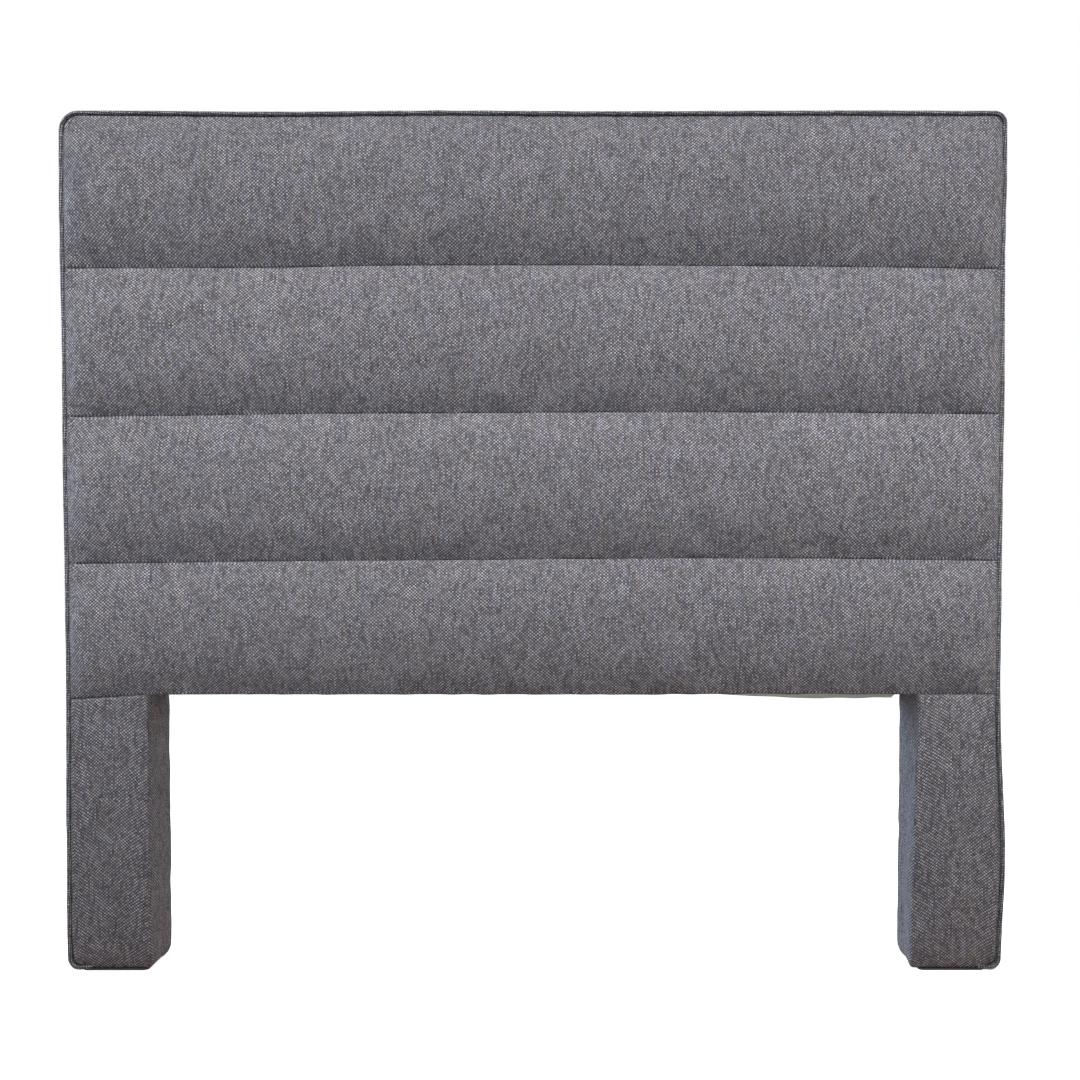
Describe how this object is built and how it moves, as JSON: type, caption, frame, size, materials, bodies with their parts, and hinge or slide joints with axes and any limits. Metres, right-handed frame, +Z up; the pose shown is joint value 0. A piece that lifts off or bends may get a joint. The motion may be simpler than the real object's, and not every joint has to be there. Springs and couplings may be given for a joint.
{
  "type": "upholstered headboard",
  "caption": "Upholstered headboard on padded legs, with horizontal padded channels in heathered grey tweed and a welt cord round the outer edge.",
  "frame": {"origin": "on the floor, in the middle of the width and of the depth", "axes": "+X to the right as seen from the front, -Y out of the padded front, +Z up"},
  "size_m": [1.63, 0.1296, 1.493],
  "materials": {
    "timber": "matte",
    "plywood": "matte",
    "foam": "matte",
    "tweed": "matte",
    "lining": "matte",
    "glide": "matte",
    "screw": "satin"
  },
  "bodies": {
    "root": {"outer_post_left": "timber", "outer_post_right": "timber", "inner_post_left": "timber", "inner_post_right": "timber", "bottom_rail": "timber", "lower_rail": "timber", "middle_rail": "timber", "upper_rail": "timber", "top_rail": "timber", "centre_stile": "timber", "foot_block_left": "timber", "foot_block_right": "timber", "bolt_block_left": "timber", "bolt_block_right": "timber", "front_panel": "plywood", "leg_facing_left": "plywood", "leg_facing_right": "plywood", "channel_foam_bottom": "foam", "channel_foam_lower": "foam", "channel_foam_upper": "foam", "channel_foam_top": "foam", "leg_pad_left": "foam", "leg_pad_right": "foam", "side_padding_left": "foam", "side_padding_right": "foam", "side_padding_top": "foam", "channel_cover_bottom": "tweed", "channel_cover_lower": "tweed", "channel_cover_upper": "tweed", "channel_cover_top": "tweed", "leg_cover_left": "tweed", "leg_cover_right": "tweed", "underside_cover": "tweed", "side_border_left": "tweed", "side_border_right": "tweed", "side_border_top": "tweed", "welt_cord": "tweed", "back_lining": "lining", "leg_lining_left": "lining", "leg_lining_right": "lining", "base_glide_left": "glide", "base_glide_right": "glide", "frame_screws": "screw", "glide_screws": "screw"}
  },
  "joints": []
}
